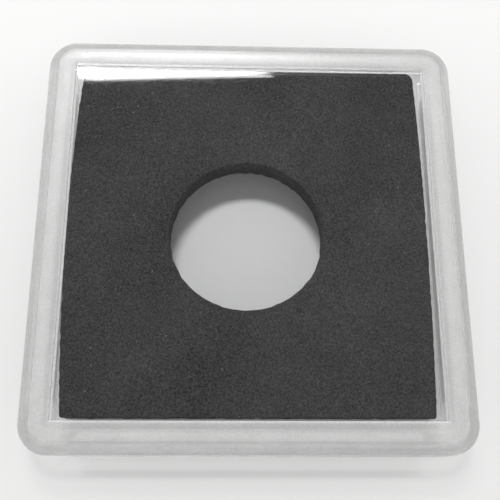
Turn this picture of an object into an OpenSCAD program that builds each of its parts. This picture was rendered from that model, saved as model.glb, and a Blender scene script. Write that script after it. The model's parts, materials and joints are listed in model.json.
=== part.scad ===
// Two-inch square coin capsule that snaps together around a die-cut foam insert.
// Two clear shells with frosted rims close on each other. The coin sits in the foam's round hole and
// shows through the window on either side. Millimetres, front face up, origin under the middle.

/* [Case] */
// Width and depth of the closed case
case_w = 50.8; // [50.5:0.1:51.6]
// Height of the closed case
case_h = 6.35; // [6.25:0.05:7]
// Radius of the case's four upright corners
corner_r = 3.5; // [3:0.1:4.2]
// Radius along the outer edge of both faces
edge_r = 1.5; // [0.8:0.1:1.5]
// Thickness of the outer wall
wall_t = 1.2; // [1.1:0.05:1.3]
// Chamfer on each shell where the two meet
seam_chamfer = 0.15; // [0.05:0.05:0.3]

/* [Windows] */
// Width of a window
window_w = 43.6; // [43:0.1:43.9]
// Thickness of a window
window_t = 1.2; // [1:0.05:1.25]
// Depth of a window below the rim around it, which keeps it from being scratched
window_recess = 0.3; // [0.1:0.05:0.35]

/* [Snap rim] */
// Width of the pocket for the foam, inside the ring
pocket_w = 44; // [43.9:0.1:44.2]
// Thickness of the ring that hangs from the front shell around the foam
ring_t = 0.6; // [0.5:0.05:0.7]
// Length of the snap tongue along each side of the back shell
tongue_l = 39.4; // [30:0.2:41]
// Room between a tongue and the walls on either side of it
tongue_play = 0.25; // [0.2:0.05:0.35]
// Radius of the groove in the front shell for the bead
groove_r = 0.3; // [0.25:0.05:0.4]

/* [Foam insert] */
// Width of the foam, left to right
foam_w = 43; // [41:0.1:43.2]
// Depth of the foam, front to back
foam_d = 43.3; // [41:0.1:43.4]
// Thickness of the foam
foam_t = 3.175; // [3:0.025:3.2]
// Diameter of the hole that holds the coin
hole_d = 18.2; // [14.2:0.1:38]

/* [Hidden] */
$fn = 96;
seam_z = case_h / 2;                      // height of the parting plane
seam_gap = 0.05;                          // the shells' free play at rest
floor_z = window_recess + window_t;       // inner face of the back window
ceiling_z = case_h - floor_z;             // inner face of the front window
cavity_w = case_w - 2 * wall_t;           // inside the outer wall
cavity_r = corner_r - wall_t;             // inside radius of an upright corner
ring_w = pocket_w + 2 * ring_t;           // outside of the ring
ring_gap = 0.15;                          // between the ring's foot and the back window
slot_in = ring_w / 2;                     // the tongue's slot, from the ring
slot_out = cavity_w / 2;                  // to the outer wall
bead_gap = 0.05;                          // between a tongue's bead and the outer wall
bead_r = tongue_play - bead_gap;          // radius of the bead along a tongue's outer face
tongue_gap = 0.2;                         // between a tongue's tip and the front shell
tongue_z = ceiling_z - tongue_gap;        // the tip's height
tip_chamfer = 0.3;                        // lead-in on a tongue's tip
end_slope = 0.8;                          // how far a tongue's ends lean in towards the tip
bead_z = seam_z + 0.8;                    // height of the bead and the groove
foam_lift = 0.05;                         // between the foam and the back window
foam_shift = [-0.35, 0.25];               // the cut foam lies a little off the middle of its pocket
hole_pos = [-0.5, -0.1];                  // centre of the hole
eps = 0.01;

// Section through half of a shell's edge: flat underside, rounded foot, chamfered top.
module edge_section(reach, h) {
    difference() {
        union() {
            square([reach - edge_r, h]);
            translate([0, edge_r])
                square([reach, h - edge_r]);
            translate([reach - edge_r, edge_r])
                circle(edge_r);
        }
        translate([reach, h])
            rotate(45)
                square(seam_chamfer * sqrt(2), center = true);
    }
}

// The section from one side of the case to the other, run along X between the corners.
module edge_bar(h) {
    rotate([90, 0, 90])
        linear_extrude(case_w - 2 * corner_r, center = true) {
            edge_section(case_w / 2, h);
            mirror([1, 0])
                edge_section(case_w / 2, h);
        }
}

// Solid block of half the case, with its round-edged face down on z = 0.
module half_block(h) {
    corner = case_w / 2 - corner_r;
    edge_bar(h);
    rotate([0, 0, 90])
        edge_bar(h);
    for (x = [-corner, corner], y = [-corner, corner])
        translate([x, y, 0])
            rotate_extrude()
                edge_section(corner_r, h);
}

// Square hollow with round upright corners, from z = 0 up.
module cavity(w, r, h) {
    linear_extrude(h) {
        square([w - 2 * r, w], center = true);
        square([w, w - 2 * r], center = true);
        for (x = [-1, 1], y = [-1, 1])
            translate([x * (w / 2 - r), y * (w / 2 - r)])
                circle(r);
    }
}

// Square plate or pocket with sharp corners, centred on the Z axis.
module square_plate(w, z0, z1) {
    translate([-w / 2, -w / 2, z0])
        cube([w, w, z1 - z0]);
}

// One half of the case as a tray: a sunk window, a frosted rim around it and the outer wall.
module tray(h) {
    difference() {
        half_block(h);
        square_plate(window_w, -1, window_recess);
        translate([0, 0, floor_z])
            cavity(cavity_w, cavity_r, h);
    }
}

// Puts its children, made for the +X side, on all four sides.
module on_each_side() {
    for (a = [0:90:270])
        rotate([0, 0, a])
            children();
}

// Snap tongue on the +X side: upright strip with sloping ends, a lead-in and a bead outside.
module tongue() {
    inner = slot_in + tongue_play;
    outer = slot_out - tongue_play;
    intersection() {
        rotate([90, 0, 0])
            linear_extrude(tongue_l, center = true) {
                polygon([
                    [inner, floor_z - eps],
                    [outer, floor_z - eps],
                    [outer, tongue_z - tip_chamfer],
                    [outer - tip_chamfer, tongue_z],
                    [inner + tip_chamfer, tongue_z],
                    [inner, tongue_z - tip_chamfer]
                ]);
                translate([outer, bead_z])
                    circle(bead_r);
            }
        rotate([90, 0, 90])
            linear_extrude(case_w)
                polygon([
                    [-tongue_l / 2, 0],
                    [tongue_l / 2, 0],
                    [tongue_l / 2 - end_slope, tongue_z],
                    [end_slope - tongue_l / 2, tongue_z]
                ]);
    }
}

// Groove on the +X side of the front shell's outer wall, into which a bead snaps.
module bead_groove() {
    translate([slot_out, 0, bead_z])
        rotate([90, 0, 0])
            cylinder(r = groove_r, h = tongue_l + 1, center = true);
}

// Lower half of the case, with the four snap tongues standing inside its wall.
module back_shell() {
    color([0.86, 0.87, 0.87, 0.6]) {
        tray(seam_z);
        on_each_side()
            tongue();
    }
}

// Upper half of the case, with the ring that keeps the foam in place under its window.
module front_shell() {
    color([0.92, 0.93, 0.93, 0.6]) {
        difference() {
            translate([0, 0, case_h])
                mirror([0, 0, 1])
                    tray(case_h - seam_z - seam_gap);
            on_each_side()
                bead_groove();
        }
        difference() {
            square_plate(ring_w, floor_z + ring_gap, ceiling_z + eps);
            square_plate(pocket_w, 0, case_h);
        }
    }
}

// Square of black foam, cut by a die, with the coin's round hole through it.
module foam_insert() {
    color([0.09, 0.09, 0.09])
        translate([0, 0, floor_z + foam_lift])
            difference() {
                translate([foam_shift[0] - foam_w / 2, foam_shift[1] - foam_d / 2, 0])
                    cube([foam_w, foam_d, foam_t]);
                translate([hole_pos[0], hole_pos[1], -1])
                    cylinder(d = hole_d, h = foam_t + 2);
            }
}

front_shell();
back_shell();
foam_insert();
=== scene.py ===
# %% [markdown]
# # A square coin capsule, drawn as surfaces
#
# A capsule like this keeps one coin flat, clean and on show. It is three pieces: a clear front shell, a clear
# back shell that the front one snaps onto, and a square of black foam between them with a round hole for the
# coin. Each shell is one moulding, polished where it is a window and frosted where it is a rim.
#
# The sizes come from a packed CAD model, which is loaded first and never moved. Every finer piece is worked
# out around it in metres, in the same frame: +Z is out of the front window and +Y is away from the camera.

# %% Load the frame that everything is built around
import json
import math

import bmesh
import bpy
import numpy as np
from mathutils import Matrix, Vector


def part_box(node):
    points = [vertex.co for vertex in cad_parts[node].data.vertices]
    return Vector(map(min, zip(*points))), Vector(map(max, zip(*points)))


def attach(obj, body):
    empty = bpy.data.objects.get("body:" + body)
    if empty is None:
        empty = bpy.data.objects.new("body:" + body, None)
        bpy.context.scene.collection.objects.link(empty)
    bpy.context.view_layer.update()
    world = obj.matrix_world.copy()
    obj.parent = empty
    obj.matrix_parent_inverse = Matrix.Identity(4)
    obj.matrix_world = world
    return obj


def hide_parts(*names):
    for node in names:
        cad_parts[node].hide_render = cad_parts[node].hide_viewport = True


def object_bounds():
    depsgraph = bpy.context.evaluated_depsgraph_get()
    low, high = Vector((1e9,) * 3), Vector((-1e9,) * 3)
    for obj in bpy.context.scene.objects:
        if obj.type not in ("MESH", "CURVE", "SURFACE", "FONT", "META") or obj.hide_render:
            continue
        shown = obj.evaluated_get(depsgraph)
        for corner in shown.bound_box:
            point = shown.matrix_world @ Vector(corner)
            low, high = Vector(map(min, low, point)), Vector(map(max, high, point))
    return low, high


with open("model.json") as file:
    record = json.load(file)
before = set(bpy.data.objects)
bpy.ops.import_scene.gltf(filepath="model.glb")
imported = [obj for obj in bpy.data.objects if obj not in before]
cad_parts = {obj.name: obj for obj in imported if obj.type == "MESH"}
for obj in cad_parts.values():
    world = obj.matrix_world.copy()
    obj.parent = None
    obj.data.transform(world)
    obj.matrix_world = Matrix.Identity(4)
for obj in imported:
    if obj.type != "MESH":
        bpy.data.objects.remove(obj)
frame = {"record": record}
cad_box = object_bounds()

MM = 0.001
CASE_HALF = cad_box[1][0]
CASE_HEIGHT = cad_box[1][2]
print(f"case {2 * CASE_HALF / MM:.1f} mm square and {CASE_HEIGHT / MM:.2f} mm high")

# %% [markdown]
# ## Where the camera stands
#
# The capsule lies on a table and is seen from above its near edge, closely enough that the far edge looks
# clearly shorter. A camera can be turned with angles, but it is easier to reason about three points: where
# the eye is, what it looks at, and which way is up. The rotation is then built from those directions, and
# the small roll of a hand-held camera is a tilt of the up direction.

# %% Camera
EYE = np.array([-2.64, -27.47, 87.14]) * MM
AIM = np.array([-0.24, -3.76, 10.77]) * MM
SENSOR_WIDTH = 36.0  # both of these are in millimetres, as Blender wants them
FOCAL_LENGTH = 52.5
NEAREST_SEEN = 1.0 * MM


def aimed(eye, aim, roll=0.0, up=(0.0, 1.0, 0.0)):
    """The matrix that puts a camera or lamp at eye and points its -Z at aim.

    Its columns are right, up and backward: backward is eye - aim, right is up x backward, and the last up
    is backward x right. The roll turns right and up about backward.
    """
    back = (eye - aim) / np.linalg.norm(eye - aim)
    right = np.cross(up, back)
    right /= np.linalg.norm(right)
    over = np.cross(back, right)
    matrix = np.eye(4)
    matrix[:3, 0] = math.cos(roll) * right + math.sin(roll) * over
    matrix[:3, 1] = math.cos(roll) * over - math.sin(roll) * right
    matrix[:3, 2] = back
    matrix[:3, 3] = eye
    return matrix.tolist()


def place(name, data, matrix):
    """Adds an object that holds data to the scene, standing where the matrix says."""
    thing = bpy.data.objects.new(name, data)
    bpy.context.scene.collection.objects.link(thing)
    thing.matrix_world = Matrix(matrix)
    return thing


camera_data = bpy.data.cameras.new("camera")
camera_data.sensor_width = SENSOR_WIDTH
camera_data.lens = FOCAL_LENGTH
camera_data.clip_start = NEAREST_SEEN
camera = place("camera", camera_data, aimed(EYE, AIM))
bpy.context.scene.camera = camera
print("camera stands", [round(v / MM, 1) for v in camera.location], "mm from the middle of the underside")

# %% [markdown]
# ## Shader nodes as arithmetic
#
# Lamps, the room and every material are small networks of nodes. Wiring them one link at a time hides what
# they work out, so two small classes do it. A Sheet is one network, and its one method adds any node. A Wire
# is an output of a node, and arithmetic on it adds Math nodes, so that a pattern reads as a formula.


# %% Sheets and wires
class Sheet:
    """A node tree, emptied first, that nodes are added to."""

    def __init__(self, tree):
        tree.nodes.clear()
        self.tree = tree

    def add(self, kind, settings=None, inputs=None, output=0):
        """Adds a node of that kind and gives one of its outputs, or None if it has none.

        The settings are set first, because some of them change which sockets there are. An input is a
        number, a vector, a colour, or a Wire, which is linked.
        """
        node = self.tree.nodes.new(kind)
        for name, value in (settings or {}).items():
            setattr(node, name, value)
        for name, value in (inputs or {}).items():
            socket = node.inputs[name]
            if isinstance(value, Wire):
                self.tree.links.new(value.socket, socket)
            elif socket.type == "VECTOR":
                socket.default_value = value[:3]
            else:
                socket.default_value = value
        return Wire(self, node.outputs[output]) if len(node.outputs) else None


class Wire:
    """An output socket of a shader node. Arithmetic on it adds the Math nodes that work it out."""

    def __init__(self, sheet, socket):
        self.sheet = sheet
        self.socket = socket

    def combine(self, operation, first, second):
        """A Math node on two values, of which at least one is a wire."""
        return self.sheet.add("ShaderNodeMath", {"operation": operation}, {0: first, 1: second})

    def __add__(self, other):
        return self.combine("ADD", self, other)

    def __radd__(self, other):
        return self.combine("ADD", other, self)

    def __sub__(self, other):
        return self.combine("SUBTRACT", self, other)

    def __rsub__(self, other):
        return self.combine("SUBTRACT", other, self)

    def __mul__(self, other):
        return self.combine("MULTIPLY", self, other)

    def __rmul__(self, other):
        return self.combine("MULTIPLY", other, self)

    def __abs__(self):
        return self.sheet.add("ShaderNodeMath", {"operation": "ABSOLUTE"}, {0: self})


print("a wire knows", [name for name in vars(Wire) if name.endswith(("add__", "sub__", "mul__", "abs__"))])

# %% [markdown]
# ### Ramps
#
# Most patterns end the same way: a measured value, such as a distance, is turned into a share of something
# else. A Map Range node does that with plain numbers, where a colour ramp would hide them in its stops.


# %% Ramps
def ramp(value, low, high, start=0.0, end=1.0, easing="LINEAR"):
    """A wire that goes from start to end as value goes from low to high, and stays level outside them."""
    settings = {"interpolation_type": easing}
    inputs = {0: value, 1: low, 2: high, 3: start, 4: end}
    return value.sheet.add("ShaderNodeMapRange", settings, inputs)


print("a ramp starts and ends at", ramp.__defaults__[:2], "unless it is told otherwise")

# %% [markdown]
# ## Lamp
#
# One broad lamp stands behind the capsule, a little to the left and rather high. It throws the crescent of
# shadow that the foam's far edge drops into the hole, and its mirror image is the glare along the top of the
# window. A plain area lamp has a hard outline in a mirror. A softbox is dimmer towards its borders, so the
# light is faded in from each border by nodes.

# %% Lamp
LAMP_TARGET = np.array([0.0, 0.0, CASE_HEIGHT])
LAMP_DISTANCE = 0.5
LAMP_AZIMUTH = math.radians(8.6)  # to the left of straight behind
LAMP_ELEVATION = math.radians(53.6)
LAMP_ROLL = math.radians(-5.0)
LAMP_SIZE = (0.156, 0.066)
LAMP_POWER = 2.4
LAMP_FADE = 0.12  # how far its light fades in from its borders, as a share of its sides

lamp_way = np.array(
    [
        -math.sin(LAMP_AZIMUTH) * math.cos(LAMP_ELEVATION),
        math.cos(LAMP_AZIMUTH) * math.cos(LAMP_ELEVATION),
        math.sin(LAMP_ELEVATION),
    ]
)
lamp_data = bpy.data.lights.new("lamp", "AREA")
lamp_data.shape = "RECTANGLE"
lamp_data.size, lamp_data.size_y = LAMP_SIZE
lamp_data.energy = LAMP_POWER
lamp_data.use_nodes = True
glow = Sheet(lamp_data.node_tree)
face_point = glow.add("ShaderNodeNewGeometry", output="Parametric")
fades = []
for axis in ("X", "Y"):
    place_on_axis = glow.add("ShaderNodeSeparateXYZ", None, {0: face_point}, output=axis)
    from_border = 0.5 - abs(place_on_axis - 0.5)
    fades.append(ramp(from_border, 0.0, LAMP_FADE, easing="SMOOTHSTEP"))
shining = glow.add("ShaderNodeEmission", None, {"Strength": fades[0] * fades[1]})
glow.add("ShaderNodeOutputLight", None, {"Surface": shining})
lamp_place = aimed(LAMP_TARGET + LAMP_DISTANCE * lamp_way, LAMP_TARGET, LAMP_ROLL, up=(0.0, 0.0, 1.0))
place("lamp", lamp_data, lamp_place)
print("lamp stands", (LAMP_DISTANCE * lamp_way / MM).round().tolist(), "mm from the capsule")

# %% [markdown]
# ## Room
#
# The room is the second light: a pale world, darker overhead than at the horizon. The windows then mirror
# little, and the frosted rims still have something bright to gather. A single grey would be simpler, but it
# would lay a veil over the foam.

# %% Room
ROOM_OVERHEAD = 0.16
ROOM_HORIZON = 1.15
DIM_FROM = 0.25  # how far up the room starts to dim, as the height of a direction of length 1
DIM_TO = 0.82  # and where it is as dark as it is overhead

world = bpy.data.worlds.new("room")
bpy.context.scene.world = world
world.use_nodes = True
room = Sheet(world.node_tree)
sky_way = room.add("ShaderNodeTexCoord", output="Generated")
sky_height = room.add("ShaderNodeSeparateXYZ", None, {0: sky_way}, output="Z")
brightness = ramp(sky_height, DIM_FROM, DIM_TO, ROOM_HORIZON, ROOM_OVERHEAD)
background = room.add("ShaderNodeBackground", None, {"Color": (1.0, 1.0, 1.0, 1.0), "Strength": brightness})
room.add("ShaderNodeOutputWorld", None, {"Surface": background})
bpy.context.scene.view_settings.view_transform = "Standard"
print(f"the room dims from {ROOM_HORIZON} at the horizon to {ROOM_OVERHEAD} overhead")

# %% [markdown]
# ## Putting a surface into a mesh
#
# Every piece here is a grid: rows run along a section, columns run round the case. The grid is computed as
# one numpy array, and its vertices and faces go into a mesh in one call. Where rows or columns are meant to
# meet, as beside a tongue's end, their points land on each other and are welded afterwards.


# %% Quads of a grid
def grid_faces(rows, columns, rows_close):
    """The quads of a grid whose columns close on themselves, as rows of four vertex numbers.

    Vertex (i, j) has the number i * columns + j. A quad joins (i, j), (i, j+1), (i+1, j+1) and (i+1, j),
    and i + 1 wraps round too if rows_close.
    """
    i, j = np.meshgrid(np.arange(rows if rows_close else rows - 1), np.arange(columns), indexing="ij")
    up, on = (i + 1) % rows, (j + 1) % columns
    quads = np.stack([i * columns + j, i * columns + on, up * columns + on, up * columns + j], axis=-1)
    return quads.reshape(-1, 4)


print(f"3 rows of 4 columns make {len(grid_faces(3, 4, rows_close=False))} quads")

# %% [markdown]
# ### A closed mesh that faces outward
#
# A shell's grid alone is a tube. The flat faces that close it are the two sides of its window, and they cost
# one face each. The foam's grid closes on itself instead. Blender then welds the points, turns the faces
# outward and marks which edges are sharp. A piece is measured as it is made, because a hole in a mesh can't
# be seen but spoils how light goes through it.

# %% A closed mesh
WELD = 0.0005 * MM  # points closer than this become one


def mesh_piece(name, points, rows_close=False, caps=(), band_of_row=None, smooth_angle=32.0):
    """A closed mesh object from a grid of points with the shape (rows, columns, 3).

    Each cap is a row that becomes one flat face. band_of_row gives each row of quads its material number,
    and caps have the number 0. Welding removes the quads that have no width, and the faces are turned
    outward. Edges that bend by more than smooth_angle degrees stay crisp.
    """
    rows, columns = points.shape[:2]
    quads = grid_faces(rows, columns, rows_close)
    faces = quads.tolist() + [list(range(r * columns, (r + 1) * columns)) for r in caps]
    mesh = bpy.data.meshes.new(name)
    mesh.from_pydata(points.reshape(-1, 3), [], faces)
    if band_of_row is not None:
        bands = np.repeat(np.asarray(band_of_row), columns)
        mesh.polygons.foreach_set("material_index", np.append(bands, [0] * len(caps)).astype(np.int32))
    shape = bmesh.new()
    shape.from_mesh(mesh)
    bmesh.ops.remove_doubles(shape, verts=shape.verts, dist=WELD)
    bmesh.ops.recalc_face_normals(shape, faces=shape.faces)
    open_edges = sum(not edge.is_manifold for edge in shape.edges)
    if shape.calc_volume(signed=True) < 0:
        bmesh.ops.reverse_faces(shape, faces=shape.faces)
    volume = shape.calc_volume(signed=True)
    shape.to_mesh(mesh)
    shape.free()
    mesh.polygons.foreach_set("use_smooth", [True] * len(mesh.polygons))
    mesh.set_sharp_from_angle(angle=math.radians(smooth_angle))
    piece = bpy.data.objects.new(name, mesh)
    bpy.context.scene.collection.objects.link(piece)
    print(f"{name}: {len(mesh.polygons)} faces, {open_edges} open edges, {volume / MM**3:.0f} mm3")
    return piece


print(f"points within {WELD / MM} mm of each other are welded")

# %% [markdown]
# ## One path for both shells
#
# Seen from above, every wall of the case is a parallel of the same rounded square: the outer wall, the
# cavity inside it and the ring around the foam share their corner centres. So one function gives the loop
# at any distance from the middle. All loops have the same number of points, which lets a section be carried
# round the case row by row, and a tongue that is only on the straight sides be raised from that section.

# %% The path round the case
WALL = 1.2 * MM
WINDOW_HALF = 21.8 * MM
POCKET_HALF = 22.0 * MM
WINDOW_SUNK = 0.3 * MM
WINDOW_THICK = 1.2 * MM
RING = 0.6 * MM
CORNER_CENTRE = 21.9 * MM  # of every upright corner, from the middle in X and in Y
LEAST_CORNER = 0.12 * MM
TONGUE_HALF = 19.7 * MM
TONGUE_END_LEAN = 0.8 * MM
GROOVE_HALF = 20.2 * MM
GROOVE_END = 0.3 * MM
ARC_STEPS = 20
MIDDLE_COLUMNS = 13  # on a straight side, between the ends of a tongue

turns_on = np.array([TONGUE_HALF - TONGUE_END_LEAN, TONGUE_HALF, GROOVE_HALF - GROOVE_END, GROOVE_HALF])
between = np.linspace(-turns_on[0], turns_on[0], MIDDLE_COLUMNS + 2)[1:-1]
ALONG = np.sort(np.concatenate([-turns_on, between, turns_on]))  # where the columns of a straight side are


def loops(halves):
    """Loops round the case, one for each distance from the middle to a side: an array (rows, columns, 2).

    The loop at distance h has corners of radius r = max(h - corner centre, a small mould radius). One
    quarter of it runs up the +X side at x = h, and then along the arc with its centre at (h - r, h - r).
    The other quarters are that one turned by (x, y) -> (-y, x).
    """
    halves = np.asarray(halves)[:, None]
    radii = np.maximum(halves - CORNER_CENTRE, LEAST_CORNER)
    straight = np.stack(np.broadcast_arrays(halves, ALONG[None, :]), axis=-1)
    angles = np.linspace(0, math.pi / 2, ARC_STEPS + 1)[None, :]
    centre = halves - radii
    arc = np.stack([centre + radii * np.cos(angles), centre + radii * np.sin(angles)], axis=-1)
    quarter = np.concatenate([straight, arc], axis=1)
    turned = [quarter]
    for _ in range(3):
        last = turned[-1]
        turned.append(np.stack([-last[..., 1], last[..., 0]], axis=-1))
    return np.concatenate(turned, axis=1)


def raised(reach, end):
    """How far a feature of the straight sides is raised in each column, from 0 to 1.

    It is 1 within reach - end of a side's middle, 0 beyond reach and in the corners, and a straight line
    between.
    """
    side = np.clip((reach - np.abs(ALONG)) / end, 0, 1)
    return np.tile(np.concatenate([side, np.zeros(ARC_STEPS + 1)]), 4)


print(f"{loops([CASE_HALF]).shape[1]} columns round the case")

# %% [markdown]
# ## Rounded sections
#
# A section is drawn as a few corners, the way a toolmaker would dimension it, and each corner has its own
# radius. Blender's Bevel modifier could round a sharp mesh afterwards, but it would give every edge about
# the same round and know nothing of the finishes, while a rounded section keeps the count of its rows.


# %% Rounded sections
NO_TURN = 1e-6  # in radians, below which a corner is straight


def rounded(corners, steps):
    """A section's points, from corners (distance, height, radius): each corner becomes an arc.

    The arc of radius r touches both legs at r * tan(turn / 2) from the corner, where turn is the angle by
    which the section changes direction. Its points are the corner's two touching points blended through
    the arc's centre. A radius of 0 keeps the corner sharp.
    """
    corners = np.asarray(corners, float)
    points = [corners[0, :2]]
    for before, here, after in zip(corners, corners[1:], corners[2:]):
        into = (here - before)[:2] / np.linalg.norm((here - before)[:2])
        out = (after - here)[:2] / np.linalg.norm((after - here)[:2])
        turn = math.acos(np.clip(into @ out, -1, 1))
        radius = here[2]
        if radius == 0 or turn < NO_TURN:
            points.append(here[:2])
            continue
        reach = radius * math.tan(turn / 2)
        start, end = here[:2] - reach * into, here[:2] + reach * out
        middle = start + (out - into * (into @ out)) / math.sin(turn) * radius
        part = np.linspace(0, turn, steps + 1)[:, None]
        points.extend(
            middle + ((start - middle) * np.sin(turn - part) + (end - middle) * np.sin(part)) / math.sin(turn)
        )
    points.append(corners[-1, :2])
    return np.array(points)


print(f"a corner rounded in 4 steps has {len(rounded([(0, 0, 0), (1, 0, 0.5), (1, 1, 0)], 4)) - 2} points")

# %% [markdown]
# ## Sections of the two shells
#
# A section is the cut you would see by sawing through the rim. It starts at the edge of the outside of the
# window, goes round the rim and the outer wall, and comes back inside to the edge of the window's inner
# face. Each corner has its own radius, because nothing that comes out of a mould is perfectly sharp, and
# those small rounds are what catches the light along the edges.
#
# The outside of both shells has the same section, turned over for the front one.

# %% Outside of a shell
EDGE_STEPS = 10  # quads across a rounded corner of the outside
INNER_STEPS = 5  # and of the inside
EDGE_ROUND = 1.5 * MM
CRISP = 0.12 * MM  # radius of the rim's edge along the window
SOFT = 0.08 * MM  # radius of most other small edges
FINE = 0.05 * MM  # radius on either side of the seam's chamfer
INTO_WINDOW = 0.6 * MM  # how far inside the window's edge the flat face that fills it starts
INTO_WALL = 0.3 * MM  # how far past the seam the section of the outside goes
SEAM_CHAMFER = 0.15 * MM
SEAM_GAP = 0.05 * MM
SEAM_Z = CASE_HEIGHT / 2
FLOOR_Z = WINDOW_SUNK + WINDOW_THICK
CAVITY_HALF = CASE_HALF - WALL


def outer_edge(base, facing, seam):
    """The outside of a shell from the window's edge to the seam, for a rim that faces down or up.

    base is the rim's height, and facing is 1 if the shell's body is above it or -1 if it is below.
    """
    return rounded(
        [
            (WINDOW_HALF - INTO_WINDOW, base + facing * WINDOW_SUNK, 0),
            (WINDOW_HALF, base + facing * WINDOW_SUNK, SOFT),
            (WINDOW_HALF, base, CRISP),
            (CASE_HALF, base, EDGE_ROUND),
            (CASE_HALF, seam - facing * SEAM_CHAMFER, FINE),
            (CASE_HALF - SEAM_CHAMFER, seam, FINE),
            (CAVITY_HALF, seam, SOFT),
            (CAVITY_HALF, seam - facing * INTO_WALL, 0),
        ],
        EDGE_STEPS,
    )


print(f"the outside's section has {len(outer_edge(0.0, 1, SEAM_Z))} points")

# %% [markdown]
# ### Carrying a section round the case
#
# The tongues and grooves are only on the straight sides, so one section isn't enough. There are two with the
# same number of points, a full one with the feature and a flat one without it, and each column of the grid
# is a blend of them. Past a feature's end the two are the same, and the extra points land on each other.


# %% Carrying a section
def rows_of_height(heights):
    """Each height repeated in every column, as the third coordinate of a grid."""
    return np.repeat(heights[:, None], 4 * (len(ALONG) + ARC_STEPS + 1), axis=1)[..., None]


def shell_grid(full, flat, lift):
    """A section carried round the case: row by row, the loop at the section's distance and height.

    Where lift is 1 the column follows the full section, and where it is 0 the flat one.
    """
    lift = lift[None, :, None]
    full_points = np.concatenate([loops(full[:, 0]), rows_of_height(full[:, 1])], axis=-1)
    flat_points = np.concatenate([loops(flat[:, 0]), rows_of_height(flat[:, 1])], axis=-1)
    return flat_points * (1 - lift) + full_points * lift


def half_circle(x, z, radius, steps=8):
    """A half circle on an upright wall at distance x, from below upward: a tongue's bead, or its groove.

    Its points are (x + radius * sin(a), z - radius * cos(a)), with a from 0 to pi.
    """
    a = np.linspace(0, math.pi, steps + 1)
    return np.stack([x + radius * np.sin(a), z - radius * np.cos(a)], axis=-1)


print(f"a tongue's full height is on {int((raised(TONGUE_HALF, TONGUE_END_LEAN) == 1).sum())} columns")

# %% [markdown]
# ### Finishes by band
#
# The mould's surface changes along the section, and so does the plastic's. The window is polished up to its
# edge, the lip around it is etched, the flat of the rim is stippled, the rounded edge and the side are
# frosted, and the inside is satin. Each strip of quads between two rows therefore has one finish, and its
# number picks one of the piece's five materials. It could be painted on instead, but the border between two
# finishes on a mould is a sharp line, and a border between faces is one too.

# %% Finishes by band
POLISHED, FROSTED, SATIN, ETCHED, STIPPLED = range(5)


def bands(section, outside, *areas):
    """The finish of each strip between two rows of a section.

    On the outside, the window's edge is polished, the lip around it is etched, the flat of the rim is
    stippled, and the rounded edge and the side are frosted. The rest is satin, apart from the areas, which
    are (rows, finish).
    """
    finish = np.full(len(section) - 1, SATIN)
    flat = 2 + 2 * EDGE_STEPS  # past the start, the window's foot and the lip
    cavity_corner = len(outside) - 2 - EDGE_STEPS
    finish[0] = POLISHED
    finish[1:flat] = ETCHED
    finish[flat] = STIPPLED
    finish[flat + 1 : cavity_corner] = FROSTED
    for rows, kind in areas:
        finish[rows] = kind
    return finish


outside_bands = bands(outer_edge(0.0, 1, SEAM_Z), outer_edge(0.0, 1, SEAM_Z))
print("strips of the outside in each finish:", np.bincount(outside_bands, minlength=5).tolist())

# %% [markdown]
# ### Back shell
#
# The back shell carries four snap tongues. On the real moulding they grow out of the floor, so they aren't
# separate strips pushed into it: the flat section lies along the floor where the full one has a tongue. At a
# tongue's ends the blend falls to nothing within less than a millimetre, which leaves sloping end faces.

# %% Back shell
FLOOR_ROUND = 0.1 * MM
RING_HALF = POCKET_HALF + RING
TONGUE_TOP_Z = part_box("back_shell")[1][2]
TONGUE_PLAY = 0.25 * MM
TONGUE_IN = RING_HALF + TONGUE_PLAY
TONGUE_OUT = CAVITY_HALF - TONGUE_PLAY
TIP_CHAMFER = 0.3 * MM
BEAD_Z = SEAM_Z + 0.8 * MM
BEAD_ROUND = TONGUE_PLAY - 0.05 * MM  # the bead stops that little short of the wall

back_outside = outer_edge(0.0, 1, SEAM_Z)
back_wall = rounded(
    [
        (CAVITY_HALF, SEAM_Z - INTO_WALL, 0),
        (CAVITY_HALF, FLOOR_Z, FLOOR_ROUND),
        (TONGUE_OUT, FLOOR_Z, 0),
    ],
    INNER_STEPS,
)
tongue_outer = rounded(
    [
        (TONGUE_OUT, BEAD_Z + BEAD_ROUND, 0),
        (TONGUE_OUT, TONGUE_TOP_Z - TIP_CHAMFER, SOFT),
        (TONGUE_OUT - TIP_CHAMFER, TONGUE_TOP_Z, SOFT),
        (TONGUE_IN + TIP_CHAMFER, TONGUE_TOP_Z, SOFT),
        (TONGUE_IN, TONGUE_TOP_Z - TIP_CHAMFER, SOFT),
        (TONGUE_IN, FLOOR_Z, 0),
    ],
    INNER_STEPS,
)
tongue_full = np.concatenate([half_circle(TONGUE_OUT, BEAD_Z, BEAD_ROUND), tongue_outer[1:]])
back_floor = np.array([[RING_HALF, FLOOR_Z], [WINDOW_HALF, FLOOR_Z]])

back_full = np.concatenate([back_outside, back_wall[1:], tongue_full, back_floor])
back_flat = back_full.copy()
tongue_rows = slice(len(back_outside) + len(back_wall) - 1, len(back_full) - len(back_floor))
back_flat[tongue_rows, 0] = np.clip(back_flat[tongue_rows, 0], TONGUE_IN, TONGUE_OUT)
back_flat[tongue_rows, 1] = FLOOR_Z

floor_rows = slice(-len(back_floor), None)
back_piece = mesh_piece(
    "back_shell_moulding",
    shell_grid(back_full, back_flat, raised(TONGUE_HALF, TONGUE_END_LEAN)),
    caps=(0, len(back_full) - 1),
    band_of_row=bands(back_full, back_outside, (tongue_rows, ETCHED), (floor_rows, POLISHED)),
)

# %% [markdown]
# ### Front shell
#
# The front shell is the same tray turned over. Instead of tongues it has the ring that keeps the foam in
# place, and a groove along each wall for the tongues' beads. The groove uses the same blend as the tongues,
# so that it stops short of the corners. The ring's inner wall is polished, as the window is, and the small
# round where it grows out of the window is etched.

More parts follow.
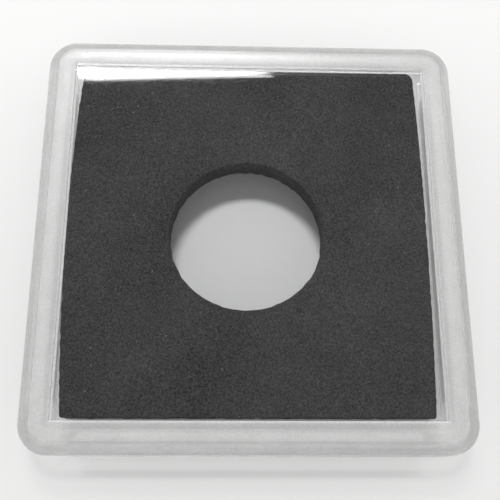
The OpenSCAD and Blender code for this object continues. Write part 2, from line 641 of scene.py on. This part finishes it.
# %% Front shell
FRONT_SEAM_Z = SEAM_Z + SEAM_GAP
CEILING_Z = CASE_HEIGHT - FLOOR_Z
RING_FOOT_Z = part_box("front_shell")[0][2]
GROOVE_ROUND = 0.3 * MM
CEILING_ROUND = 0.2 * MM  # radius between the wall and the ceiling of the slot for a tongue
RING_OUTER_ROOT = 0.1 * MM  # radius between the slot's ceiling and the ring
RING_ROOT = 0.3 * MM  # radius in the corner between the ring and the window

front_outside = outer_edge(CASE_HEIGHT, -1, FRONT_SEAM_Z)
front_wall = rounded(
    [
        (CAVITY_HALF, BEAD_Z + GROOVE_ROUND, 0),
        (CAVITY_HALF, CEILING_Z, CEILING_ROUND),
        (RING_HALF, CEILING_Z, RING_OUTER_ROOT),
        (RING_HALF, RING_FOOT_Z, SOFT),
        (POCKET_HALF, RING_FOOT_Z, SOFT),
        (POCKET_HALF, CEILING_Z, RING_ROOT),
        (WINDOW_HALF - INTO_WINDOW, CEILING_Z, 0),
    ],
    INNER_STEPS,
)
groove = half_circle(CAVITY_HALF, BEAD_Z, GROOVE_ROUND)
front_full = np.concatenate([front_outside, groove, front_wall[1:]])
front_flat = front_full.copy()
groove_rows = slice(len(front_outside), len(front_outside) + len(groove))
front_flat[groove_rows, 0] = CAVITY_HALF

ring_root = slice(-1 - INNER_STEPS, -1)
ring_inside = slice(-2 - 2 * INNER_STEPS, None)
front_piece = mesh_piece(
    "front_shell_moulding",
    shell_grid(front_full, front_flat, raised(GROOVE_HALF, GROOVE_END)),
    caps=(0, len(front_full) - 1),
    band_of_row=bands(front_full, front_outside, (ring_inside, POLISHED), (ring_root, ETCHED)),
)

# %% [markdown]
# ## Foam insert
#
# The insert is cut from a sheet with a steel rule die, so its faces are the sheet's own skin and its edges
# are pressed over a little where the blade went in. It could be a block with a hole cut by a boolean, but
# then every edge would be the same. Here it is one closed grid: the columns are rays from the hole's middle
# to the outline, and the rows go along the top, down the outer edge, back along the bottom and up the hole.
#
# The outline comes first. Soft foam gives way beside the blade, so its sides are bowed and its corners are
# not quite sharp.

# %% Outline of the foam
FOAM_STEP = 0.3 * MM
LEFT_BOW = 0.85 * MM
RIGHT_BOW = 0.4 * MM
CORNER_POINTS = 9
CUT_CORNERS = {(1, 1): 1.0 * MM, (-1, 1): 0.3 * MM, (-1, -1): 0.35 * MM, (1, -1): 0.3 * MM}
foam_low, foam_high = (np.array(corner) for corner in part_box("foam_insert"))


def foam_outline():
    """The outline of the foam from above, anticlockwise from the bottom right corner: an array (columns, 2).

    Each corner is a quarter circle of its own radius, and each side has points a set step apart. The left
    and right sides are bowed: with x and y as shares of half the foam, a point moves in by bow * x^4 * y^2.
    """
    middle, half = (foam_low + foam_high)[:2] / 2, (foam_high - foam_low)[:2] / 2
    parts = []
    for start, (side_x, side_y) in zip((-0.5, 0.0, 0.5, 1.0), ((1, -1), (1, 1), (-1, 1), (-1, -1))):
        radius = CUT_CORNERS[side_x, side_y]
        angles = math.pi * np.linspace(start, start + 0.5, CORNER_POINTS)
        centre = middle + (half - radius) * (side_x, side_y)
        parts.append(centre + radius * np.stack([np.cos(angles), np.sin(angles)], axis=-1))
    pieces = []
    for part, following in zip(parts, parts[1:] + parts[:1]):
        count = int(np.linalg.norm(following[0] - part[-1]) / FOAM_STEP)
        share = np.linspace(0, 1, count + 1)[1:-1, None]
        pieces += [part, part[-1] * (1 - share) + following[0] * share]
    outline = np.concatenate(pieces)
    x, y = ((outline - middle) / half).T
    bow = np.where(x < 0, LEFT_BOW, -RIGHT_BOW)
    return outline + np.stack([bow * x**4 * y**2, np.zeros_like(y)], axis=-1)


seat = next(m for m in frame["record"]["mounts"] if m["name"] == "coin_seat")
HOLE_CENTRE = np.array(seat["pos_m"][:2])
HOLE_RADIUS = seat["dims"]["r_mm"] * MM
rays = foam_outline() - HOLE_CENTRE
ray_lengths = np.linalg.norm(rays, axis=1)
rays /= ray_lengths[:, None]
spans = ray_lengths - HOLE_RADIUS  # from the hole's edge to the outline, along each ray
print(f"{len(rays)} rays cross {spans.min() / MM:.1f} to {spans.max() / MM:.1f} mm of foam")

# %% [markdown]
# ### The cut edge
#
# Outer edge and hole are cut by the same blade, so they share one section: a pressed round at the top where
# the blade went in, a wall that is drawn in a little halfway down, and a nearly sharp bottom edge.

# %% Cut edge of the foam
PRESSED_ROUND = 0.16 * MM
LOW_ROUND = 0.05 * MM
WAIST = 0.1 * MM  # how far the wall is drawn in halfway down
ROUND_POINTS = 5
WALL_POINTS = 7


def cut_edge():
    """The rows of a cut edge from the top face to the bottom one, as (distance inside the edge, height).

    Along a round of radius r the distance is r * (1 - sin(a)) and the fall r * (1 - cos(a)), with a from 0
    to a quarter turn. Along the wall the distance is the waist times sin(pi * share of the way down).
    """
    a = np.linspace(0, math.pi / 2, ROUND_POINTS)
    down = np.linspace(0, 1, WALL_POINTS + 2)[1:-1]
    wall_height = foam_high[2] - foam_low[2] - PRESSED_ROUND - LOW_ROUND
    wall_z = foam_high[2] - PRESSED_ROUND - wall_height * down
    top = [PRESSED_ROUND * (1 - np.sin(a)), foam_high[2] - PRESSED_ROUND * (1 - np.cos(a))]
    wall = [WAIST * np.sin(math.pi * down), wall_z]
    low = [LOW_ROUND * (1 - np.sin(a[::-1])), foam_low[2] + LOW_ROUND * (1 - np.cos(a[::-1]))]
    return np.concatenate([top, wall, low], axis=1).T


edge_rows = cut_edge()
print(f"the cut edge has {len(edge_rows)} rows")

# %% [markdown]
# ### The grid
#
# Along a ray, a row lies at some reach from the hole's edge. On the faces the reach is a share of what is
# left between the two pressed edges, so the rows spread evenly whether the foam is wide or narrow there.

# %% Grid of the foam
TOP_ROWS = 64
BOTTOM_ROWS = 24

across_top = np.linspace(0, 1, TOP_ROWS + 2)[1:-1, None]
across_bottom = np.linspace(1, 0, BOTTOM_ROWS + 2)[1:-1, None]
between_edges = spans[None, :] - 2 * PRESSED_ROUND
reach = np.concatenate(
    [
        PRESSED_ROUND + across_top * between_edges,
        spans[None, :] - edge_rows[:, :1],
        PRESSED_ROUND + across_bottom * between_edges,
        np.repeat(edge_rows[::-1, :1], len(spans), axis=1),
    ]
)
height = np.concatenate(
    [
        np.full(TOP_ROWS, foam_high[2]),
        edge_rows[:, 1],
        np.full(BOTTOM_ROWS, foam_low[2]),
        edge_rows[::-1, 1],
    ]
)
foam_points = np.empty(reach.shape + (3,))
foam_points[..., :2] = HOLE_CENTRE + (HOLE_RADIUS + reach)[..., None] * rays
foam_points[..., 2] = height[:, None]
print(f"foam grid: {reach.shape[0]} rows of {reach.shape[1]} columns")

# %% [markdown]
# ### Its surface
#
# A sheet of foam isn't flat when you look along it: every cell is a tiny dent, and the sheet sags a little
# over a longer distance. A cut edge is ragged, because the blade tears the cells that it crosses. On the
# faces all of it goes inward, and a cut edge is set back by more than it is usually ragged, so the insert
# keeps its size. It is real relief in the mesh rather than bump alone, because it shows in the hole's rim.

# %% Surface of the foam
CELL_SIZE = 0.75 * MM
CELL_RELIEF = 0.012 * MM
SAG_LENGTH = 14 * MM
SAG_DEPTH = 0.02 * MM
EDGE_REACH = 0.35 * MM  # how far from a cut the blade's pull is felt
EDGE_DROP = 0.03 * MM
RAG_SIZE = 0.9 * MM
RAG_RELIEF = 0.035 * MM
RAG_INSET = 0.04 * MM
noise_draws = np.random.default_rng(11)


def ripple(points, wavelength, waves=28):
    """Smooth random heights at points, most of them between -1 and 1, the same on every run.

    It is a sum of sine waves sin(k . p + phase) with random directions and phases, whose lengths are 0.7 to
    1.4 times the wavelength, divided by the square root of their number.
    """
    size = points.shape[-1]
    ways = noise_draws.normal(size=(waves, size))
    ways /= np.linalg.norm(ways, axis=1, keepdims=True)
    lengths = wavelength * noise_draws.uniform(0.7, 1.4, size=(waves, 1))
    phases = noise_draws.uniform(0, 2 * math.pi, size=waves)
    return np.sin(points @ (ways * 2 * math.pi / lengths).T + phases).sum(axis=-1) / math.sqrt(waves)


edge_near = np.exp(-np.minimum(reach, spans - reach) / EDGE_REACH)
out_of_face = np.sign(height - (foam_low[2] + foam_high[2]) / 2)[:, None]
cells = ripple(foam_points, CELL_SIZE) * CELL_RELIEF
sag = (ripple(foam_points[..., :2], SAG_LENGTH, waves=10) - 1) * SAG_DEPTH
relief = cells - np.abs(cells).max() + np.minimum(sag, 0) - EDGE_DROP * edge_near
foam_points[..., 2] += out_of_face * relief
ragged = ripple(foam_points, RAG_SIZE) * RAG_RELIEF - RAG_INSET
foam_points[..., :2] += (np.sign(reach - spans / 2) * edge_near * ragged)[..., None] * rays
foam_piece = mesh_piece("foam_insert_die_cut", foam_points, rows_close=True, smooth_angle=60.0)

# %% [markdown]
# ## Marks at a place
#
# The front window has one fine scratch near its right edge, and the foam carries bits of lint. Each is a
# mark at one place, so both need a pattern that knows where it is. Painting them on an image would tie them
# to a resolution. The distance from a point to a straight line is a short formula, and stays sharp.


# %% Marks at a place
TINY = 1e-12  # a dot has no length, and this keeps it from being divided by 0


def vector_math(at, operation, inputs, output=0):
    """One Vector Math node in the sheet that at belongs to."""
    return at.sheet.add("ShaderNodeVectorMath", {"operation": operation}, inputs, output)


def near_line(at, height, start, end, width):
    """A wire that is 1 on a straight mark from start to end and eases to 0 at its sides.

    start and end are in millimetres, seen from above, and the mark lies at that height. A point p is nearest
    to the mark at start + (end - start) * t, where t is the share of the way along it,
    (p - start) . (end - start) / length^2, kept between 0 and 1. The distance to that point is compared
    with the width. A mark whose ends are the same is a dot.
    """
    start, end = np.array([(*start, height / MM), (*end, height / MM)]) * MM
    step = end - start
    offset = vector_math(at, "SUBTRACT", {0: at, 1: start})
    share = vector_math(at, "DOT_PRODUCT", {0: offset, 1: step / max(step @ step, TINY)}, output="Value")
    share = at.sheet.add("ShaderNodeClamp", None, {0: share})
    along = vector_math(at, "SCALE", {0: step, 3: share})
    distance = vector_math(at, "DISTANCE", {0: offset, 1: along}, output="Value")
    return ramp(distance, width * MM / 2, width * MM, 1.0, 0.0)


WINDOW_TOP_Z = CASE_HEIGHT - WINDOW_SUNK
SCRATCH = ((19.1, 4.2), (20.4, 1.3), 0.05)
print(f"the scratch is {math.dist(*SCRATCH[:2]):.1f} mm long")

# %% [markdown]
# ## Plastic
#
# Both shells are the same clear plastic, and only the mould's surface differs. The windows were polished,
# the rims were spark eroded to an even frost, and the inside was left as it was machined. All five finishes
# are the same Principled shader that lets light through. They differ in tint, in roughness, in how much is
# scattered as haze, in how strongly they mirror, in their bump, and in how uneven they are.
#
# Blender's glass casts a shadow like a solid body unless it is sampled for a very long time. Thin clear
# plastic doesn't, so rays that gather light for the foam or the table meet a transparent shader instead,
# tinted by what the surface would lose. There are two such kinds of ray: those sent straight to a lamp, and
# those that leave a dull surface in any direction. Letting only the first kind through would count the lamp
# twice.

# %% A clear plastic finish
PLASTIC_IOR = 1.53
SCRATCH_ROUGHNESS = 0.35
LOW_TONE, HIGH_TONE = 0.3, 0.7  # between these, Blender's noise does most of its changing


def new_material(name):
    """A new material and the empty sheet of its nodes."""
    material = bpy.data.materials.new(name)
    material.use_nodes = True
    return material, Sheet(material.node_tree)


def plastic(name, colour, roughness, see_through, lamp_light, grain, shine=1.0, mottle=(), worn=False):
    """A clear plastic finish.

    see_through is how much of the light goes through rather than scattering as haze, and lamp_light is the
    share of a lamp's light that passes. grain is a list of (size, depth) for layers of bump. shine is how
    strongly it mirrors, with 1 for bare plastic. mottle is a list of (size, darkening) for layers of uneven
    tone, each a factor between 1 - darkening and 1. A worn finish has the scratch.
    """
    material, sheet = new_material(name)
    at = sheet.add("ShaderNodeTexCoord", output="Object")
    inputs = {
        "Base Color": colour,
        "Roughness": roughness,
        "IOR": PLASTIC_IOR,
        "Specular Tint": (shine, shine, shine, 1.0),
        "Transmission Weight": see_through,
    }
    for size, depth in grain:
        bumps = sheet.add("ShaderNodeTexNoise", None, {"Vector": at, "Scale": 1 / size, "Detail": 2.0})
        bump_inputs = {"Height": bumps, "Distance": depth, "Strength": 1.0}
        if "Normal" in inputs:
            bump_inputs["Normal"] = inputs["Normal"]
        inputs["Normal"] = sheet.add("ShaderNodeBump", None, bump_inputs)
    for size, darkening in mottle:
        spots = sheet.add("ShaderNodeTexNoise", None, {"Vector": at, "Scale": 1 / size, "Detail": 3.0})
        shade = ramp(spots, LOW_TONE, HIGH_TONE, 1.0 - darkening, 1.0)
        inputs["Base Color"] = vector_math(at, "SCALE", {0: inputs["Base Color"], 3: shade})
    if worn:
        inputs["Roughness"] = roughness + SCRATCH_ROUGHNESS * near_line(at, WINDOW_TOP_Z, *SCRATCH)
    surface = sheet.add("ShaderNodeBsdfPrincipled", None, inputs)
    passing = sheet.add("ShaderNodeBsdfTransparent", None, {"Color": (lamp_light,) * 3 + (1.0,)})
    for ray in ("Is Diffuse Ray", "Is Shadow Ray"):
        kind_of_ray = sheet.add("ShaderNodeLightPath", output=ray)
        surface = sheet.add("ShaderNodeMixShader", None, {0: kind_of_ray, 1: surface, 2: passing})
    sheet.add("ShaderNodeOutputMaterial", None, {"Surface": surface})
    print(f"{name}: {len(sheet.tree.nodes)} nodes")
    return material


# %% [markdown]
# ### The five finishes
#
# The windows are the plastic itself: hardly tinted, and nearly smooth, with the very long, faint waves that
# a moulded sheet has. The other four are rougher. Frost, stipple and etch scatter a good part of the light,
# mirror little, and are a little uneven up close, as a spark eroded mould leaves them.

# %% The five finishes
CLEAR = (0.985, 0.99, 0.99, 1.0)
FROST = (0.75, 0.75, 0.745, 1.0)
ETCH = (0.86, 0.86, 0.855, 1.0)
STIPPLE = (0.755, 0.755, 0.75, 1.0)

polished = plastic(
    "polished_plastic",
    CLEAR,
    roughness=0.02,
    see_through=1.0,
    lamp_light=0.96,
    grain=[(9 * MM, 0.0008 * MM)],
    worn=True,
)
frosted = plastic(
    "frosted_plastic",
    FROST,
    roughness=0.24,
    see_through=0.66,
    lamp_light=0.94,
    grain=[(0.2 * MM, 0.002 * MM), (0.6 * MM, 0.006 * MM)],
    shine=0.2,
    mottle=[(0.35 * MM, 0.12), (2.5 * MM, 0.08)],
)
satin = plastic(
    "satin_plastic",
    CLEAR,
    roughness=0.3,
    see_through=0.85,
    lamp_light=0.97,
    grain=[(0.6 * MM, 0.003 * MM)],
)
etched = plastic(
    "etched_plastic",
    ETCH,
    roughness=0.5,
    see_through=0.4,
    lamp_light=0.94,
    grain=[(0.2 * MM, 0.006 * MM)],
    shine=0.3,
    mottle=[(0.2 * MM, 0.25)],
)
stippled = plastic(
    "stippled_plastic",
    STIPPLE,
    roughness=0.3,
    see_through=0.42,
    lamp_light=0.94,
    grain=[(0.2 * MM, 0.004 * MM)],
    shine=0.2,
    mottle=[(0.2 * MM, 0.15), (2.5 * MM, 0.08)],
)

# %% [markdown]
# ## Lint
#
# Static draws lint onto foam, and black foam shows all of it. Most of it is fine specks in loose patches,
# then there are a few larger dots, and one short fibre near the hole. The specks are the middles of Voronoi
# cells, and a noise hides those that fall between the patches.

# %% Lint on the foam
SPECK_STEP = 1.7 * MM
SPECK_CORE, SPECK_EDGE = 0.03, 0.07  # how far a speck reaches from its middle, as shares of the step
SPECK_STRENGTH = 0.7
PATCH_SIZE = 1.3 * MM
PATCH_FROM, PATCH_TO = 0.48, 0.56  # between these values of the noise, the specks come in
LINT_DOTS = ((-16.5, 16.5), (-14.0, 16.6), (-18.3, -18.5), (-18.0, -13.7), (15.8, 13.8), (17.2, 11.8))
DOT_WIDTH = 0.12
FIBRE = ((-14.3, 2.6), (-13.2, 1.4), 0.06)


def lint_on_foam(at):
    """A wire that is 1 on lint: fine specks all over, a few larger dots and one fibre."""
    speck_inputs = {"Vector": at, "Scale": 1 / SPECK_STEP}
    specks = at.sheet.add("ShaderNodeTexVoronoi", None, speck_inputs, output="Distance")
    patches = at.sheet.add("ShaderNodeTexNoise", None, {"Vector": at, "Scale": 1 / PATCH_SIZE, "Detail": 0.0})
    lint = ramp(specks, SPECK_CORE, SPECK_EDGE, SPECK_STRENGTH, 0.0) * ramp(patches, PATCH_FROM, PATCH_TO)
    for dot in LINT_DOTS:
        lint = lint + near_line(at, foam_high[2], dot, dot, DOT_WIDTH)
    return lint + near_line(at, foam_high[2], *FIBRE)


print(f"{len(LINT_DOTS)} dots and a fibre {math.dist(*FIBRE[:2]):.1f} mm long")

# %% [markdown]
# ## Foam
#
# The foam is a fine closed-cell sheet, charcoal rather than black because every cell wall catches a little
# light. Its tone is a sum of three patterns: the cells, a finer grain within them, and the slow drift of a
# sheet that was skived from a block. The lint is laid over that. The relief of the cells is too fine to be
# worth modelling, so here a bump is the better way.

# %% Foam finish
CELL_STEP = 0.3 * MM
GRAIN_SIZE = 0.2 * MM
DRIFT_SIZE = 9 * MM
CELL_TONE, GRAIN_TONE, DRIFT_TONE = 0.4, 2.3, 0.8
DARKEST, LIGHTEST = -0.5, 1.1  # the sums of the three at which the foam has its two colours
DARK_FOAM = (0.002, 0.002, 0.0021, 1.0)
LIGHT_FOAM = (0.084, 0.084, 0.082, 1.0)
LINT_COLOUR = (0.24, 0.24, 0.23, 1.0)
CELL_DEPTH = 0.04 * MM


def blend(share, first, second):
    """A colour that goes from first to second as share goes from 0 to 1.

    A Mix node keeps sockets for every kind of value, and 6, 7 and output 2 are the ones for colours.
    """
    inputs = {0: share, 6: first, 7: second}
    return share.sheet.add("ShaderNodeMix", {"data_type": "RGBA"}, inputs, output=2)


def foam_finish():
    """Charcoal foam with cells, a drifting tone, lint specks and one fibre."""
    material, sheet = new_material("charcoal_foam")
    at = sheet.add("ShaderNodeTexCoord", output="Object")
    cells = sheet.add("ShaderNodeTexVoronoi", None, {"Vector": at, "Scale": 1 / CELL_STEP}, output="Distance")
    fine = sheet.add("ShaderNodeTexNoise", None, {"Vector": at, "Scale": 1 / GRAIN_SIZE, "Detail": 2.0})
    drift = sheet.add("ShaderNodeTexNoise", None, {"Vector": at, "Scale": 1 / DRIFT_SIZE, "Detail": 2.0})
    tone = CELL_TONE * cells + GRAIN_TONE * (fine - 0.5) + DRIFT_TONE * (drift - 0.5)
    grey = blend(ramp(tone, DARKEST, LIGHTEST), DARK_FOAM, LIGHT_FOAM)
    inputs = {
        "Base Color": blend(lint_on_foam(at), grey, LINT_COLOUR),
        "Roughness": 0.9,
        "Specular IOR Level": 0.1,
        "Normal": sheet.add(
            "ShaderNodeBump", None, {"Height": fine + cells, "Distance": CELL_DEPTH, "Strength": 0.8}
        ),
    }
    surface = sheet.add("ShaderNodeBsdfPrincipled", None, inputs)
    sheet.add("ShaderNodeOutputMaterial", None, {"Surface": surface})
    return material


charcoal_foam = foam_finish()
print(f"{charcoal_foam.name}: {len(charcoal_foam.node_tree.nodes)} nodes")

# %% [markdown]
# ## Dressing the pieces
#
# Each new piece rides on its CAD body and stands in for the plain CAD node. A shell's five materials are
# added in the order of the finishes' numbers, because a face finds its material by that number.

# %% Dress and hand over
for piece, node, body, slot in (
    (back_piece, "back_shell", "back", "back_plastic"),
    (front_piece, "front_shell", "front", "front_plastic"),
):
    for finish in (polished, frosted, satin, etched, stippled):
        piece.data.materials.append(finish)
    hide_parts(node)
    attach(piece, body)

foam_piece.data.materials.append(charcoal_foam)
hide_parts("foam_insert")
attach(foam_piece, "insert")
for piece in (back_piece, front_piece, foam_piece):
    print(piece.name, "is dressed in", [material.name for material in piece.data.materials])

# %% [markdown]
# ## Table
#
# The capsule lies on a plain table in one dull, almost white tone. It is a single large face, set a hair's
# breadth below the rim so that the two surfaces don't fight over which is in front.

# %% Table
TABLE_HALF = 1.5
TABLE_DROP = 0.01 * MM

pale_table, table_sheet = new_material("pale_table")
dull_white = {"Base Color": (0.86, 0.86, 0.855, 1.0), "Roughness": 0.7, "Specular IOR Level": 0.2}
table_surface = table_sheet.add("ShaderNodeBsdfPrincipled", None, dull_white)
table_sheet.add("ShaderNodeOutputMaterial", None, {"Surface": table_surface})

table_mesh = bpy.data.meshes.new("table")
table_corners = np.array([(-1, -1), (1, -1), (1, 1), (-1, 1)]) * TABLE_HALF
table_mesh.from_pydata(np.column_stack([table_corners, np.full(4, -TABLE_DROP)]), [], [(0, 1, 2, 3)])
table_mesh.materials.append(pale_table)
table = bpy.data.objects.new("table", table_mesh)
bpy.context.scene.collection.objects.link(table)
print(f"the table is {2 * TABLE_HALF:.0f} m square")
